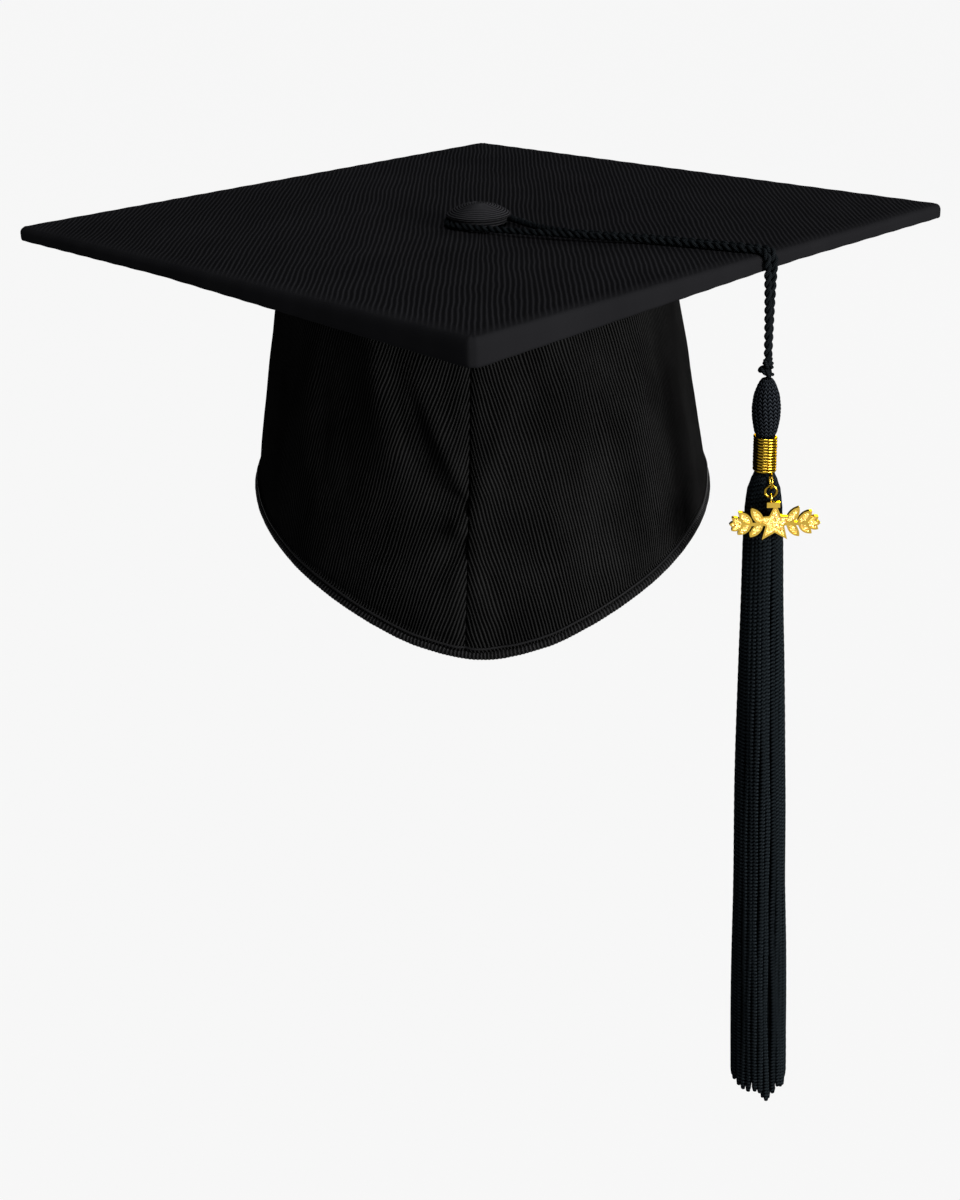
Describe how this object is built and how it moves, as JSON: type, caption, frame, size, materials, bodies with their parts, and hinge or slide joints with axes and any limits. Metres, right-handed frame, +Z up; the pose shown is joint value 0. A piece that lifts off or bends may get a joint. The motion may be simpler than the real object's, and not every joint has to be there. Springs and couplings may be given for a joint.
{
  "type": "graduation cap",
  "caption": "Square-topped graduation cap with a peaked soft crown, piped rim, covered button, elastic back, and a corded tassel with a gold wire neck and a laurel charm.",
  "frame": {"origin": "centre of the head opening, level with the rim beside the wearer's ears", "axes": "+Z up through the board, -Y to the front peak of the crown, board corners on the X and Y axes"},
  "size_m": [0.338, 0.338, 0.3388],
  "materials": {
    "gown_fabric": "ribbed satin",
    "lining": "matt woven",
    "sweatband": "matt tape",
    "elastic": "woven elastic",
    "label": "satin tape",
    "filler_cord": "cotton cord",
    "board_plastic": "stiff sheet",
    "button_thread": "wound thread",
    "button_metal": "plain",
    "tassel_cord": "twisted rayon",
    "tassel_strands": "chainette",
    "bead_wood": "turned",
    "gold_wire": "bright",
    "gold_charm": "polished edges",
    "gold_glitter": "glitter"
  },
  "bodies": {
    "cap": {"board_cover_top": "gown_fabric", "board_insert": "board_plastic", "board_cover_bottom": "gown_fabric", "crown_panel_left": "gown_fabric", "crown_panel_right": "gown_fabric", "crown_lining_left": "lining", "crown_lining_right": "lining", "crown_top_oval": "lining", "front_seam_tape": "lining", "sweatband": "sweatband", "back_elastic": "elastic", "elastic_casing": "lining", "elastic_end_tacks": "elastic", "blank_size_label": "label", "rim_piping_cover": "gown_fabric", "rim_piping_filler": "filler_cord", "button_cover": "button_thread", "button_shell": "button_metal", "button_back_plate": "button_metal", "button_prong_fastener": "button_metal", "button_washer": "button_metal"},
    "tassel_loop": {"tassel_cord_loop": "tassel_cord"},
    "tassel_bend": {"cord_bend_over_edge": "tassel_cord"},
    "tassel_line": {"cord_drop_rear": "tassel_cord", "cord_drop_front": "tassel_cord"},
    "tassel": {"tassel_knot": "tassel_cord", "tassel_head_cover": "tassel_cord", "tassel_head_bead": "bead_wood", "neck_wire_wrap": "gold_wire", "tassel_skirt_strands": "tassel_strands", "charm_bail": "gold_wire"},
    "charm_ring": {"charm_jump_ring": "gold_wire"},
    "charm": {"laurel_charm": "gold_charm", "charm_glitter_infill": "gold_glitter"}
  },
  "joints": [
    {"name": "loop_turn", "type": "hinge", "parent": "cap", "child": "tassel_loop", "pos_m": [0, -0.006, 0.105], "axis": [0, 0, 1], "range_deg": [-15, 0]},
    {"name": "tassel_swing_out", "type": "hinge", "parent": "tassel_loop", "child": "tassel_bend", "pos_m": [0.09267, -0.07428, 0.10642], "axis": [-0.7071, -0.7071, 0], "range_deg": [0, 70]},
    {"name": "tassel_swing_side", "type": "hinge", "parent": "tassel_bend", "child": "tassel_line", "pos_m": [0.09551, -0.07712, 0.1008], "axis": [0.7071, -0.7071, 0], "range_deg": [-25, 25]},
    {"name": "tassel_twist", "type": "hinge", "parent": "tassel_line", "child": "tassel", "pos_m": [0.09551, -0.07712, 0.0695], "axis": [0, 0, 1], "range_deg": [-90, 90]},
    {"name": "charm_ring_sway", "type": "hinge", "parent": "tassel", "child": "charm_ring", "pos_m": [0.09671, -0.08482, 0.02819], "axis": [0, 1, 0], "range_deg": [-20, 20]},
    {"name": "charm_flap", "type": "hinge", "parent": "charm_ring", "child": "charm", "pos_m": [0.09671, -0.08482, 0.02429], "axis": [-1, 0, 0], "range_deg": [0, 60]}
  ]
}
